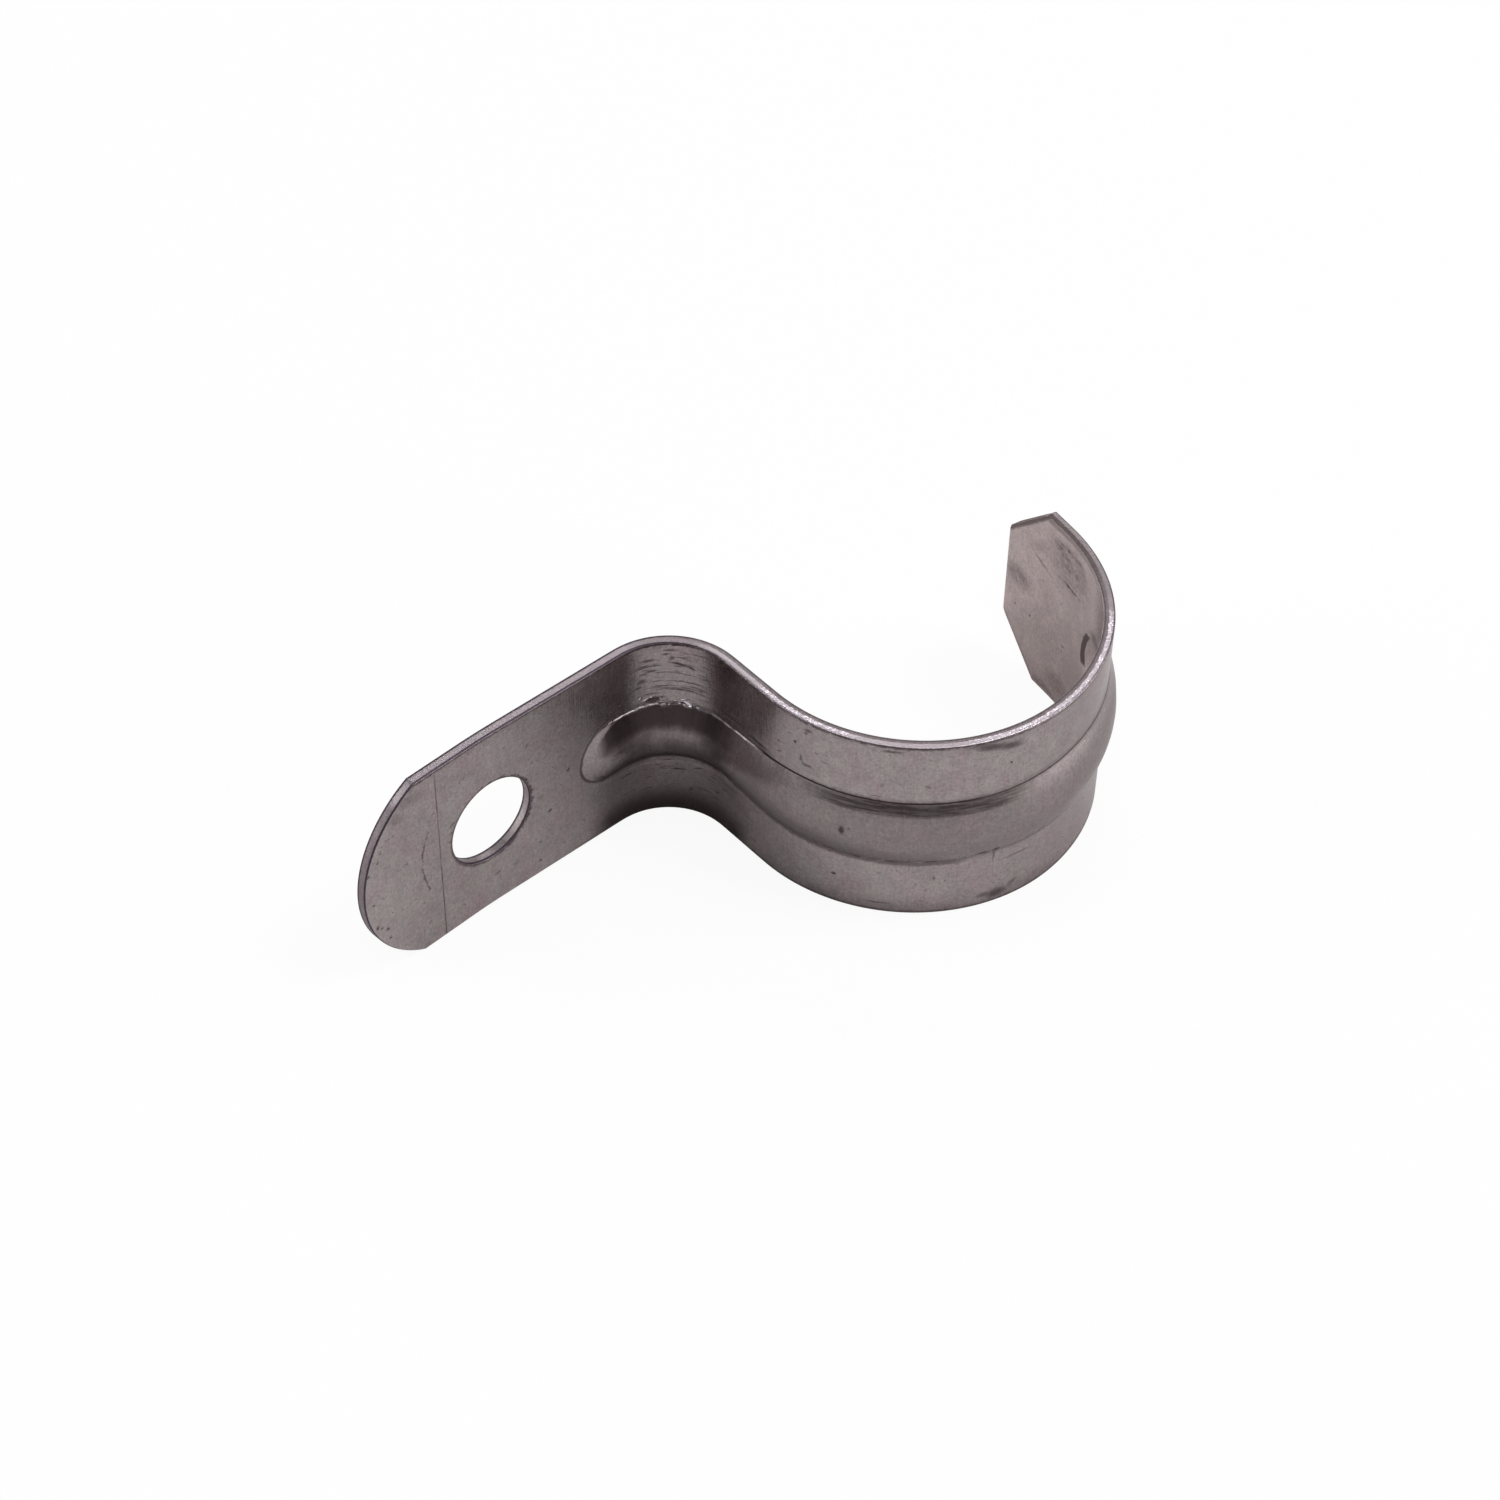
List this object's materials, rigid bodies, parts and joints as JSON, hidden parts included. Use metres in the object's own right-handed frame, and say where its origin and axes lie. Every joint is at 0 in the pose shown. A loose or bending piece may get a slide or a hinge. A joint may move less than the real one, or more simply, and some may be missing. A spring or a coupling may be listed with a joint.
{
  "type": "conduit clamp",
  "caption": "Sheet steel conduit clamp with a screw-down foot, a bend and a ribbed push-on arch that ends in a hooked lip; it holds a round conduit against a wall.",
  "frame": {"origin": "middle of the footprint, at the height of the lower long edge that the part stands on", "axes": "+Z along the conduit, +Y out of the back of the foot into the wall, +X from the foot towards the hook"},
  "size_m": [0.0634, 0.0282, 0.018],
  "materials": {
    "pressed_steel": "bare rolled and pressed sheet steel, satin, with brighter sheared edges, scuffs and dark rub marks"
  },
  "bodies": {
    "root": {"strap": "pressed_steel"}
  },
  "joints": []
}
